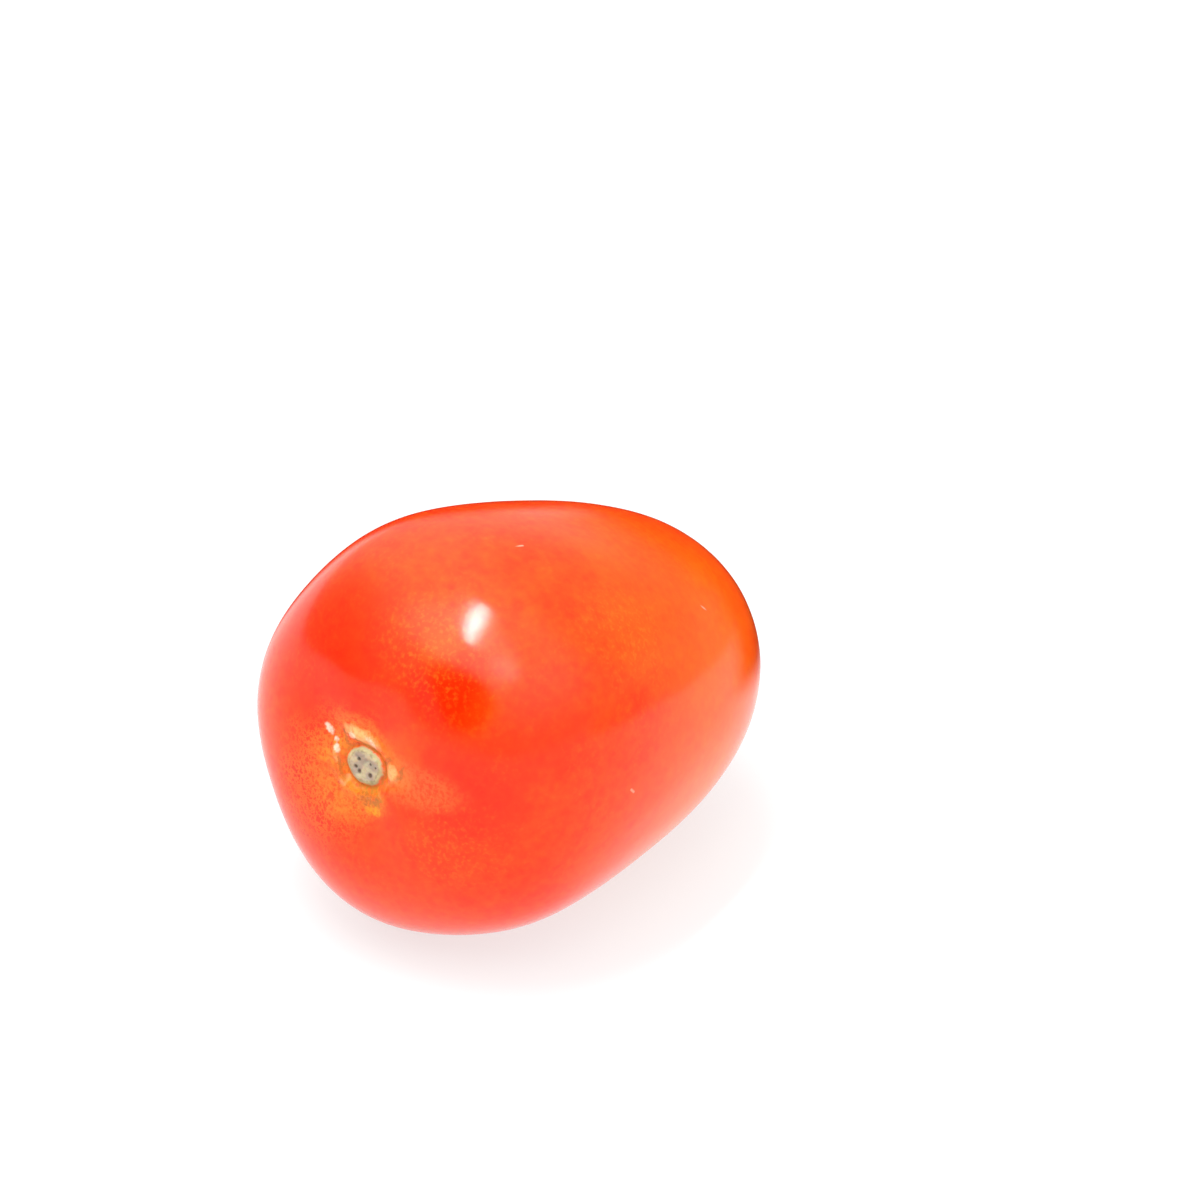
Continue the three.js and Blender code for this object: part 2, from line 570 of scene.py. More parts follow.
@dataclass(frozen=True)
class SkinNet:
    """How finely the visible skin follows the form: rings from the stem pole to the tip."""

    segments: int = 384
    scar_rings: int = 52
    hollow_rings: int = 56
    body_rings: int = 116
    tip_rings: int = 24
    scar_angle: float = 0.155
    hollow_angle: float = 0.55
    body_angle: float = 2.85
    scar_spread: float = 0.9
    body_spread: float = 1.6

    def ring_angles(self) -> Numbers:
        """Polar angles of the rings, without the poles."""
        stops = (0.0, self.scar_angle, self.hollow_angle, self.body_angle, math.pi)
        counts = (self.scar_rings, self.hollow_rings, self.body_rings, self.tip_rings)
        bands = [
            np.linspace(start, end, count, endpoint=False)
            for start, end, count in zip(stops, stops[1:], counts)
        ]
        return np.concatenate(bands)[1:]

    def map_heights(self, angles: Numbers) -> Numbers:
        """Each ring's height on the texture map, which gives the scar more room than its size.

        Args:
            angles: Polar angles of the rings.

        Returns:
            Heights from 0 at the stem pole to 1 at the tip.
        """
        body_room = self.body_rings * self.body_spread
        room = np.array([self.scar_rings * self.scar_spread, self.hollow_rings, body_room, self.tip_rings])
        stops = (0.0, self.scar_angle, self.hollow_angle, self.body_angle, math.pi)
        return np.interp(angles, stops, np.concatenate([[0], np.cumsum(room)]) / room.sum())


@dataclass
class Site:
    """Where a point of the skin is, as values that a finish can use. Lengths are in millimetres."""

    graph: Graph
    place: bpy.types.NodeSocket
    sideways: Value
    upwards: Value
    along: Value

    @classmethod
    def of(cls, graph: Graph, form: FruitForm, set_down: Vector) -> "Site":
        """Reads the point from the piece's object coordinates.

        Args:
            graph: The material's graph.
            form: The fruit's form, which has its tilt.
            set_down: How far the fruit was moved when it was set down, in metres.

        Returns:
            The site.
        """
        place = graph.scaled(graph.node("ShaderNodeTexCoord").outputs["Object"], 1 / MM)
        loose = graph.vector("SUBTRACT", place, tuple(set_down / MM))
        own = graph.node(
            "ShaderNodeVectorRotate",
            {"rotation_type": "Y_AXIS"},
            {"Vector": loose, "Angle": -form.stem_tilt},
        )
        along, sideways, upwards = graph.axes(own.outputs[0])
        pole_bend = float(form.bend_at(np.array(1.0))) / MM
        return cls(graph, place, sideways - pole_bend, upwards, along)

    def ragged(self) -> "Site":
        """The same place, shifted by noise in the stem plane, so that marks get ragged outlines."""
        sideways = self.shifted(self.sideways, Seed.SIDEWAYS_BROAD, Seed.SIDEWAYS_FINE)
        upwards = self.shifted(self.upwards, Seed.UPWARDS_BROAD, Seed.UPWARDS_FINE)
        return Site(self.graph, self.place, sideways, upwards, self.along)

    def shifted(self, flat: Value, broad: Seed, fine: Seed) -> Value:
        """A coordinate moved by broad waves and by finer ones."""
        waves = self.graph.uneven(self.place, 1.7, broad, 1.0)
        ripples = self.graph.uneven(self.place, 0.5, fine)
        return flat + waves * 1.3 + ripples * 0.8

    def height(self) -> Value:
        """Height over the floor."""
        return self.graph.axes(self.place)[2]

    def on_stem_end(self) -> Value:
        """1 on the stem end's half of the fruit and 0 on the blossom end's."""
        return self.along.rise(-5.0, -12.0)

    def near(self, place: Place, radius: float, feather: float = 0.6) -> Value:
        """1 in a round patch and 0 away from it, with a share of its radius as its soft edge."""
        away = self.graph.measure("DISTANCE", self.place, place)
        return away.rise(radius * (1 + feather), radius * (1 - feather))

    def by_line(self, start: Place, end: Place) -> Value:
        """Distance from the straight line between two places.

        Args:
            start: One end, in the row frame, in millimetres.
            end: The other end.

        Returns:
            The distance.
        """
        run = Vector(end) - Vector(start)
        off = self.graph.vector("SUBTRACT", self.place, start)
        share = self.graph.measure("DOT_PRODUCT", off, tuple(run / run.length_squared))
        nearest = self.graph.scaled(tuple(run), share.most(0.0).least(1.0))
        return self.graph.measure("DISTANCE", off, nearest)


@dataclass(frozen=True)
class Patch:
    """A round place on the skin, in millimetres in the row frame, and how much it changes there."""

    place: Place
    radius: float
    change: float


@dataclass(frozen=True)
class Scratch:
    """A fine pale scratch, from one place to another in the row frame, in millimetres."""

    start: Place
    end: Place
    half_width: float


@dataclass(frozen=True)
class Blotch:
    """A coloured blotch in the stem plane, in millimetres, broken up by noise."""

    oval: Oval
    colour: Colour
    strength: float


@dataclass(frozen=True)
class SkinFinish:
    """Ripe tomato skin: glossy, with soft blotches, fine speckles, small marks, and painted light and
    shade.

    A span is where a part of the fruit begins and where it is reached, in millimetres: over the floor for
    the painted shade on top and the painted light underneath, and along the fruit for the others.
    """

    ripe: Colour = (0.92, 0.034, 0.001)
    deep: Colour = (0.90, 0.016, 0.0005)
    orange: Colour = (0.94, 0.150, 0.002)
    speckle: Colour = (0.95, 0.20, 0.012)
    bruise: Colour = (0.42, 0.028, 0.002)
    scratch: Colour = (0.95, 0.45, 0.28)
    patches: tuple[Patch, ...] = (
        Patch((-22.9, -10.4, 42.3), 4.2, -0.5),
        Patch((-21.7, -8.4, 45.2), 2.4, 0.25),
        Patch((-6.5, -12, 49), 5.0, 0.08),
        Patch((-20, -6, 47.5), 5.0, 0.08),
        Patch((-25, 5, 40), 10.0, -0.33),
        Patch((-25, -15, 31.5), 6.5, -0.3),
        Patch((-26.6, -6.5, 33), 3.0, 0.3),
        Patch((-29, 12, 32), 8.0, 0.1),
        Patch((-16, -20.5, 39), 5.0, -0.12),
        Patch((-6, -24, 20), 9.0, 0.15),
        Patch((1, -19.5, 42.5), 6.0, 0.15),
        Patch((5, -10.2, 47.6), 4.0, 0.12),
        Patch((-7.4, -14.2, 48.3), 3.0, -0.12),
    )
    speckled: tuple[Patch, ...] = (
        Patch((-20.9, -6.3, 46.6), 5.5, 0.8),
        Patch((-22.9, -10.4, 42.3), 6.0, 0.3),
        Patch((-26.4, -14.1, 24.4), 5.5, 0.7),
        Patch((-1, -19, 43.5), 6.0, 0.6),
        Patch((-24.3, 9, 41), 6.0, 0.15),
    )
    bruises: tuple[Patch, ...] = (
        Patch((-15.4, -4.6, 50.5), 0.38, 0.95),
        Patch((-15.4, -4.6, 50.5), 1.0, 0.2),
        Patch((-16.9, -6.1, 49.5), 0.33, 0.8),
        Patch((-16.9, -6.1, 49.5), 0.8, 0.15),
    )
    scratches: tuple[Scratch, ...] = (
        Scratch((-4.9, -4.6, 51.0), (-3.7, -5.0, 51.0), 0.1),
        Scratch((15.0, -16.1, 38.6), (16.0, -16.8, 37.8), 0.1),
        Scratch((-7.0, -24.9, 27.2), (-6.5, -24.9, 26.6), 0.12),
    )
    # Heights over the floor of the painted shade on top and of the painted light underneath.
    painted_top_shade_span: Span = (30.0, 46.0)
    painted_underlight_span: Span = (26.0, 8.0)
    blossom_span: Span = (-10.0, 10.0)
    tip_span: Span = (12.0, 28.0)
    stem_span: Span = (-18.0, -27.0)
    base_orange: float = 0.1
    blossom_orange: float = 0.62
    # Painted shade: how much orange the top of the blossom half loses.
    painted_top_shade: float = 0.42
    tip_drop: float = 0.38
    # Painted light: how much orange the underside gains, on the blossom half and on the stem half.
    painted_underlight_blossom: float = 0.45
    painted_underlight_stem: float = 0.12
    broad_change: float = 0.35
    blotch_change: float = 0.3
    grain_change: float = 0.5
    deep_gain: float = -3
    speck_cover: float = 0.45
    scratch_cover: float = 0.7
    lowest_roughness: float = 0.11
    wax_roughness: float = 0.08
    bump_height: float = 0.006
    refraction: float = 1.35
    scatter: float = 0.5
    scatter_reds: Colour = (1.0, 0.25, 0.12)
    scatter_depth: float = 5 * MM

    def ripeness(self, site: Site) -> Value:
        """How orange the skin is, with painted shade that makes the top of the blossom half less orange
        and painted light that makes the underside more orange.

        Args:
            site: Where on the fruit.

        Returns:
            A number, below 0 for deep red, 0 for ripe red and 1 for orange.
        """
        graph = site.graph
        height = site.height()
        # Painted shade on top and painted light underneath, by height over the floor.
        upper = height.rise(*self.painted_top_shade_span)
        under = height.rise(*self.painted_underlight_span)
        blossom = site.along.rise(*self.blossom_span)
        tip = site.along.rise(*self.tip_span)
        stem = site.along.rise(*self.stem_span)
        # The blossom half is more orange, and less so on top, where shade is painted.
        amount = self.base_orange + blossom * (self.blossom_orange - upper * self.painted_top_shade)
        amount = amount - tip * self.tip_drop
        # The underside is made more orange: painted light from below.
        amount = amount + under * (blossom * self.painted_underlight_blossom + stem * self.painted_underlight_stem)
        amount = amount + graph.uneven(site.place, 11.0, Seed.RIPE_BROAD) * self.broad_change
        amount = amount + graph.uneven(site.place, 3.2, Seed.RIPE_BLOTCHES) * self.blotch_change
        amount = amount + graph.uneven(site.place, 1.1, Seed.RIPE_GRAIN, 4.0) * self.grain_change
        for patch in self.patches:
            amount = amount + site.near(patch.place, patch.radius) * patch.change
        return amount

    def colour(self, site: Site) -> bpy.types.NodeSocket:
        """The skin's colour away from the scar.

        Args:
            site: Where on the fruit.

        Returns:
            The colour socket.
        """
        graph = site.graph
        amount = self.ripeness(site)
        colour = graph.mix(amount.most(0.0).least(1.0), self.ripe, self.orange)
        colour = graph.mix((amount * self.deep_gain).most(0.0).least(1.0), colour, self.deep)
        crowd = graph.cloud(site.place, 5.0, Seed.SPECK_ZONES).rise(0.4, 0.7) * 0.3
        for patch in self.speckled:
            crowd = crowd + site.near(patch.place, patch.radius) * patch.change
        specks = graph.cloud(site.place, 0.5, Seed.SPECKS).rise(0.44, 0.8)
        colour = graph.mix(specks * crowd.least(1.0) * self.speck_cover, colour, self.speckle)
        for bruise in self.bruises:
            spot = site.near(bruise.place, bruise.radius, 0.8)
            colour = graph.mix(spot * bruise.change, colour, self.bruise)
        for scratch in self.scratches:
            away = site.by_line(scratch.start, scratch.end)
            line = away.rise(2 * scratch.half_width, 0.3 * scratch.half_width)
            colour = graph.mix(line * self.scratch_cover, colour, self.scratch)
        return colour

    def roughness(self, site: Site) -> Value:
        """The skin's roughness, a little uneven from its wax."""
        return self.lowest_roughness + site.graph.cloud(site.place, 4.0, Seed.WAX) * self.wax_roughness

    def relief(self, site: Site) -> Value:
        """Fine relief for the bump, in millimetres."""
        return site.graph.cloud(site.place, 0.6, Seed.SKIN_BUMP, 1.0) * self.bump_height


@dataclass(frozen=True)
class ScarFinish:
    """The dry cork of the stem scar, its brown groove and the pale pads and mottling round it.

    A span is where a mark begins to show and where it shows in full: in scar radii for the cork, in
    millimetres for the dull skin, and in an oval's own squared distance for the others.
    """

    cork: Colour = (0.47, 0.38, 0.24)
    cork_grey: Colour = (0.34, 0.25, 0.20)
    rim: Colour = (0.47, 0.40, 0.21)
    ring: Colour = (0.24, 0.18, 0.08)
    pit: Colour = (0.075, 0.042, 0.026)
    groove: Colour = (0.50, 0.15, 0.014)
    crease: Colour = (0.36, 0.10, 0.010)
    pad: Colour = (0.93, 0.41, 0.15)
    fleck: Colour = (0.96, 0.60, 0.46)
    net_dark: Colour = (0.62, 0.018, 0.003)
    net_light: Colour = (0.93, 0.155, 0.015)
    cork_roughness: float = 0.85
    cork_bump: float = 0.12
    dull_roughness: float = 0.38
    dull_bump: float = 0.05
    cork_span: Span = (1.06, 0.96)
    dull_span: Span = (5.5, 2.5)
    net_span: Span = (1.7, 0.1)
    blotch_span: Span = (2.1, 0.2)
    pad_span: Span = (1.7, 0.2)
    crease_span: Span = (3.0, 0.0)
    fleck_span: Span = (2.0, 0.0)
    groove_place: float = 1.14
    groove_width: float = 0.12
    rim_place: float = 0.94
    rim_width: float = 0.1
    ring_place: float = 0.83
    ring_width: float = 0.07
    ring_cover: float = 0.6
    net_zone: Oval = Oval(5.2, -3.4, 10.5, 6.8, -60)
    grey_zones: tuple[Oval, ...] = (
        Oval(0.6, 1.0, 1.1, 0.6, 20),
        Oval(-1.35, 0.5, 0.9, 0.7),
        Oval(0.9, -0.5, 1.1, 0.6, -60),
        Oval(-1.0, -0.95, 0.6, 0.55),
    )
    blotches: tuple[Blotch, ...] = (
        Blotch(Oval(4.4, -1.2, 4.4, 3.2, -60), (0.93, 0.17, 0.010), 0.85),
        Blotch(Oval(1.4, -4.6, 4.6, 2.5, -15), (0.93, 0.19, 0.012), 0.9),
        Blotch(Oval(0.9, 3.5, 3.9, 2.1, 12), (0.93, 0.19, 0.020), 0.8),
        Blotch(Oval(-4.1, 0.7, 2.5, 2.1), (0.93, 0.20, 0.020), 0.75),
        Blotch(Oval(-7.6, 0.3, 5.2, 2.6, 174), (0.93, 0.15, 0.025), 0.55),
        Blotch(Oval(3.2, 1.6, 1.3, 1.0), (0.85, 0.32, 0.010), 0.7),
        Blotch(Oval(5.2, -0.6, 1.4, 0.9), (0.92, 0.30, 0.010), 0.75),
        Blotch(Oval(3.1, -1.9, 1.7, 1.0, -50), (0.60, 0.19, 0.010), 0.8),
        Blotch(Oval(-0.3, -3.1, 2.8, 1.3, 8), (0.55, 0.24, 0.012), 1.1),
        Blotch(Oval(-1.5, -3.7, 1.5, 0.9), (0.40, 0.15, 0.015), 0.95),
        Blotch(Oval(-1.95, -4.9, 0.9, 0.7), (0.85, 0.32, 0.005), 0.9),
    )
    creases: tuple[Oval, ...] = (
        Oval(3.45, -0.4, 1.6, 0.22, 80),
        Oval(-5.1, 0.9, 1.2, 0.24, 115),
        Oval(-2.85, -0.2, 1.1, 0.2, 100),
        Oval(-3.2, 1.9, 0.9, 0.32, 130),
        Oval(0.8, 2.75, 2.3, 0.14, 12),
        Oval(3.1, 2.8, 1.0, 0.18, 60),
        Oval(2.5, -2.35, 0.5, 0.28, 20),
    )
    flecks: tuple[Oval, ...] = (
        Oval(5.4, 2.95, 0.7, 0.4, 36),
        Oval(4.19, 1.98, 0.32, 0.3),
        Oval(3.97, 1.0, 0.5, 0.32, 75),
        Oval(1.93, 3.38, 0.4, 0.36),
        Oval(-0.68, 3.34, 0.75, 0.34, 41),
    )

    def edge(self, site: Site, form: FruitForm) -> Value:
        """Distance from the scar's middle in scar radii, made a little ragged."""
        wobble = site.graph.uneven(site.place, 0.9, Seed.CORK_EDGE, 3.0) * 0.3
        return form.scar_distance(site.sideways * MM, site.upwards * MM).root() + wobble

    def cork_mask(self, site: Site, form: FruitForm) -> Value:
        """1 on the cork and 0 off it."""
        return self.edge(site, form).rise(*self.cork_span) * site.on_stem_end()

    def dullness(self, site: Site) -> Value:
        """1 on the crumpled skin next to the scar and 0 on the glossy skin."""
        away = (site.sideways**2 + site.upwards**2).root()
        away = away + site.graph.uneven(site.place, 1.2, Seed.DULL_EDGE) * 4.0
        return away.rise(*self.dull_span) * site.on_stem_end()

    def net(self, under: object, site: Site) -> bpy.types.NodeSocket:
        """Lays the fine net of pale lines on darker red, beside and under the scar, over a colour.

        Args:
            under: The skin's colour.
            site: Where on the fruit.

        Returns:
            The colour.
        """
        graph = site.graph
        zone = self.net_zone.distance(site.sideways, site.upwards)
        zone = zone + graph.uneven(site.place, 3.0, Seed.NET_EDGE) * 2.2
        zone = zone.rise(*self.net_span) * site.on_stem_end()
        lines = graph.uneven(site.place, 0.55, Seed.NET_LINES, 3.0).size().rise(0.11, 0.0)
        dark = graph.cloud(site.place, 1.9, Seed.NET_DARK).rise(0.36, 0.6)
        colour = graph.mix(zone * (1 - lines) * (0.2 + dark * 0.5), under, self.net_dark)
        return graph.mix(zone * lines * 0.6, colour, self.net_light)

    def surroundings(self, under: object, site: Site) -> bpy.types.NodeSocket:
        """Lays the net and the coloured blotches round the scar over the skin's colour.

        Args:
            under: The skin's colour.
            site: Where on the fruit.

        Returns:
            The colour.
        """
        graph = site.graph
        stem = site.on_stem_end()
        spot = site.ragged()
        mottle = graph.cloud(site.place, 0.5, Seed.BLOTCH_GRAIN, 3.0).rise(0.36, 0.6)
        colour = under
        for blotch in self.blotches:
            away = blotch.oval.distance(spot.sideways, spot.upwards)
            cover = away.rise(*self.blotch_span) * (0.35 + mottle * 0.75) * stem
            colour = graph.mix((cover * blotch.strength).least(1.0), colour, blotch.colour)
        return self.net(colour, site)

    def pads(self, under: object, site: Site, relief: FineRelief) -> bpy.types.NodeSocket:
        """Lays the pale pads, the brown creases and the white flecks over a colour.

        Args:
            under: The colour below.
            site: Where on the fruit.
            relief: The relief, which holds the pads.

        Returns:
            The colour.
        """
        graph = site.graph
        stem = site.on_stem_end()
        spot = site.ragged()
        mottle = graph.cloud(site.place, 0.4, Seed.PAD_GRAIN, 3.0).rise(0.3, 0.6)
        colour = under
        for pad in relief.pads:
            away = pad.oval.distance(spot.sideways, spot.upwards)
            cover = away.rise(*self.pad_span) * (0.5 + mottle * 0.5) * stem
            colour = graph.mix(cover * pad.paleness, colour, self.pad)
        for crease in self.creases:
            away = crease.distance(spot.sideways, spot.upwards)
            cover = away.rise(*self.crease_span) * (0.35 + mottle * 0.35) * stem
            colour = graph.mix(cover, colour, self.crease)
        for fleck in self.flecks:
            away = fleck.distance(site.sideways, site.upwards) - (mottle - 0.5) * 0.8
            cover = away.rise(*self.fleck_span) * (0.5 + mottle * 0.4) * stem
            colour = graph.mix(cover, colour, self.fleck)
        return colour

    def disc(
        self,
        under: object,
        site: Site,
        form: FruitForm,
        relief: FineRelief,
    ) -> bpy.types.NodeSocket:
        """Lays the groove and the cork with its rim, its grey zones and its pits over a colour.

        Args:
            under: The colour below.
            site: Where on the fruit.
            form: The fruit's form.
            relief: The relief, which holds the pits.

        Returns:
            The colour.
        """
        graph = site.graph
        edge = self.edge(site, form)
        patchy = graph.cloud(site.place, 0.5, Seed.CORK_GRAIN, 3.0)
        rough = (patchy - 0.5) * 2.4
        groove = (edge - self.groove_place).bell(self.groove_width) * site.on_stem_end()
        colour = graph.mix(groove * (0.1 + patchy), under, self.groove)
        cork = graph.mix(patchy.rise(0.45, 0.7) * 0.5, self.cork, self.cork_grey)
        for zone in self.grey_zones:
            away = zone.distance(site.sideways, site.upwards) + rough
            cork = graph.mix(away.rise(1.5, 0.3) * 0.85, cork, self.cork_grey)
        cork = graph.mix((edge - self.rim_place).bell(self.rim_width), cork, self.rim)
        ring = (edge - self.ring_place).bell(self.ring_width) * patchy.rise(0.42, 0.62)
        cork = graph.mix(ring * self.ring_cover, cork, self.ring)
        for pit in relief.pits:
            away = (site.sideways - pit.sideways) ** 2 + (site.upwards - pit.upwards) ** 2
            away = away.root() + rough * 0.06
            cork = graph.mix(away.rise(pit.radius * 1.6, pit.radius * 0.5) * 0.85, cork, self.pit)
        return graph.mix(self.cork_mask(site, form), colour, cork)


@dataclass(frozen=True)
class TipFinish:
    """The blossom end: a small brown dot where the flower was, with a paler ring."""

    dot: Colour = (0.16, 0.06, 0.025)
    ring: Colour = (0.90, 0.24, 0.05)
    dot_radius: float = 0.55
    ring_radius: float = 2.2

    def cover(self, under: object, site: Site, form: FruitForm) -> bpy.types.NodeSocket:
        """Lays the dot and its ring over the skin's colour.

        Args:
            under: The colour below.
            site: Where on the fruit.
            form: The fruit's form.

        Returns:
            The colour.
        """
        graph = site.graph
        shift = float(form.bend_at(np.array(-1.0)) - form.bend_at(np.array(1.0))) / MM
        away = ((site.sideways - shift) ** 2 + site.upwards**2).root()
        away = away + graph.uneven(site.place, 0.9, Seed.TIP_EDGE, 3.0) * 1.2
        tip = site.along.rise(25.0, 29.0)
        ring = (away - self.ring_radius * 0.5).bell(self.ring_radius) * tip
        colour = graph.mix(ring * 0.5, under, self.ring)
        return graph.mix(away.rise(self.dot_radius * 1.4, self.dot_radius * 0.7) * tip, colour, self.dot)


class Tomato:
    """The whole fruit: one fine closed mesh with its skin and its stem scar."""

    def __init__(self, form: FruitForm, relief: FineRelief, net: SkinNet) -> None:
        """Keeps the sizes.

        Args:
            form: The fruit's form.
            relief: The finer relief.
            net: How fine the mesh is.
        """
        self.form = form
        self.relief = relief
        self.net = net
        self.skin = SkinFinish()
        self.scar = ScarFinish()
        self.tip = TipFinish()
        self.set_down = Vector()

    def points(self) -> Numbers:
        """Every point of the skin in the row frame: the stem pole, the rings and the tip's pole.

        Returns:
            One row of three coordinates for each point, in metres.
        """
        angles = self.net.ring_angles()
        turns = np.arange(self.net.segments) * FULL_TURN / self.net.segments
        polar = np.concatenate([[0.0], np.repeat(angles, self.net.segments), [math.pi]])
        around = np.concatenate([[0.0], np.tile(turns, len(angles)), [0.0]])
        own = self.form.skin_points(polar, around)
        own += self.relief.offsets(own, self.form)
        tilt = np.array(Matrix.Rotation(self.form.stem_tilt, 3, "Y"))
        tipped = own @ tilt.T
        low, high = (np.array(corner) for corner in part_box(TOMATO_NODE))
        middle = (tipped.min(axis=0) + tipped.max(axis=0)) / 2
        shift = (low + high) / 2 - middle
        shift[2] = high[2] - tipped[:, 2].max()
        self.set_down = Vector(shift)
        placed = tipped + shift
        placed[:, 2] = self.relief.rested(placed[:, 2])
        return placed

    def faces(self) -> list[tuple[int, ...]]:
        """The faces over those points: a fan at each pole and four-sided faces between.

        Returns:
            Point numbers for each face.
        """
        count, rings = self.net.segments, len(self.net.ring_angles())
        last = 1 + rings * count
        turns = [(k, (k + 1) % count) for k in range(count)]
        faces = [(0, 1 + after, 1 + k) for k, after in turns]
        for ring in range(rings - 1):
            near, far = 1 + ring * count, 1 + (ring + 1) * count
            faces += [(near + k, near + after, far + after, far + k) for k, after in turns]
        end = 1 + (rings - 1) * count
        return faces + [(end + k, end + after, last) for k, after in turns]

    def map_places(self) -> Numbers:
        """Places on the texture map for each face's corners, in the order of the faces.

        Returns:
            One row of two coordinates for each corner.
        """
        count = self.net.segments
        steps = np.arange(count) / count
        width = 1 / count
        heights = self.net.map_heights(self.net.ring_angles())
        start = np.stack([steps + width / 2, 0 * steps, steps + width, 0 * steps, steps, 0 * steps], 1)
        start[:, 3::2] = heights[0]
        bands = [start.reshape(-1, 2)]
        for near, far in zip(heights, heights[1:]):
            level = np.full(count, near), np.full(count, far)
            right = steps + width
            corners = (steps, level[0], right, level[0], right, level[1], steps, level[1])
            bands.append(np.stack(corners, 1).reshape(-1, 2))
        end = np.stack([steps, 0 * steps, steps + width, 0 * steps, steps + width / 2, 0 * steps + 1], 1)
        end[:, 1:4:2] = heights[-1]
        bands.append(end.reshape(-1, 2))
        return np.concatenate(bands)

    def material(self) -> bpy.types.Material:
        """The fruit's one material: skin everywhere, with the scar and the tip's dot on it.

        Returns:
            The material.
        """
        made, graph = new_material("tomato_skin")
        site = Site.of(graph, self.form, self.set_down)
        colour = self.scar.surroundings(self.skin.colour(site), site)
        colour = self.scar.pads(colour, site, self.relief)
        colour = self.scar.disc(colour, site, self.form, self.relief)
        colour = self.tip.cover(colour, site, self.form)
        cork = self.scar.cork_mask(site, self.form)
        dull = self.scar.dullness(site)
        relief = self.skin.relief(site)
        relief = relief + cork * graph.cloud(site.place, 0.3, Seed.CORK_BUMP, 3.0) * self.scar.cork_bump
        relief = relief + dull * graph.cloud(site.place, 0.45, Seed.DULL_BUMP, 3.0) * self.scar.dull_bump
        gloss = graph.blend(dull, self.skin.roughness(site), self.scar.dull_roughness)
        bump = graph.node("ShaderNodeBump", {}, {"Height": relief, "Strength": 1.0, "Distance": MM})
        shader = graph.node(
            "ShaderNodeBsdfPrincipled",
            {"subsurface_method": "RANDOM_WALK"},
            {
                "Base Color": colour,
                "Roughness": graph.blend(cork, gloss, self.scar.cork_roughness),
                "Normal": bump.outputs["Normal"],
                "IOR": self.skin.refraction,
                "Subsurface Weight": self.skin.scatter,
                "Subsurface Radius": self.skin.scatter_reds,
                "Subsurface Scale": self.skin.scatter_depth,
            },
        )
        graph.node("ShaderNodeOutputMaterial", {}, {"Surface": shader.outputs[0]})
        return made

    def build(self) -> bpy.types.Object:
        """Makes the fruit's mesh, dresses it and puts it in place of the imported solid.

        Returns:
            The finished piece.
        """
        mesh = bpy.data.meshes.new("tomato_skin")
        mesh.from_pydata(self.points().tolist(), [], self.faces())
        mesh.uv_layers.new(name="OFBake").data.foreach_set("uv", self.map_places().ravel())
        mesh.shade_smooth()
        mesh.validate()
        piece = bpy.data.objects.new("tomato_skin", mesh)
        bpy.context.scene.collection.objects.link(piece)
        mesh.materials.append(self.material())
        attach(piece, BODY)
        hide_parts(TOMATO_NODE)
        return piece


def stand(name: str, corners: list[tuple[float, ...]], material: bpy.types.Material) -> bpy.types.Object:
    """Makes one flat sheet of the studio.

    Args:
        name: The sheet's name.
        corners: Its four corners.
        material: Its material.

    Returns:
        The sheet, staged and at the origin.
    """
    mesh = bpy.data.meshes.new(name)
    mesh.from_pydata(corners, [], [(0, 1, 2, 3)])
    mesh.materials.append(material)
    sheet = bpy.data.objects.new(name, mesh)
    bpy.context.scene.collection.objects.link(sheet)
    return sheet


@dataclass(frozen=True)
class Softbox:
    """A soft lamp. Its place is the direction from the fruit, and lengths are in metres."""

    name: str
    towards: Place
    distance: float
    length: float
    width: float
    run: Place
    power: float

    def build(self, target: Vector) -> bpy.types.Object:
        """Hangs the lamp, with its face turned to the target.

        Args:
            target: The point that it lights.

        Returns:
            The lamp.
        """
        lamp = bpy.data.lights.new(self.name, "AREA")
        lamp.shape = "ELLIPSE"
        lamp.size = self.length
        lamp.size_y = self.width
        lamp.energy = self.power
        hung = bpy.data.objects.new(self.name, lamp)
        back = Vector(self.towards).normalized()
        side = (Vector(self.run) - Vector(self.run).project(back)).normalized()
        turn = Matrix((side, back.cross(side), back)).transposed()
        hung.matrix_world = Matrix.Translation(target + back * self.distance) @ turn.to_4x4()
        bpy.context.scene.collection.objects.link(hung)
        return hung


@dataclass(frozen=True)
class Zone:
    """A round part of the tent that is brighter or darker than the rest.

    It has a direction from the fruit, the angles in degrees where it begins to fade and has faded, and
    the share by which it changes the brightness.
    """

    towards: Place
    inside: float
    outside: float
    change: float


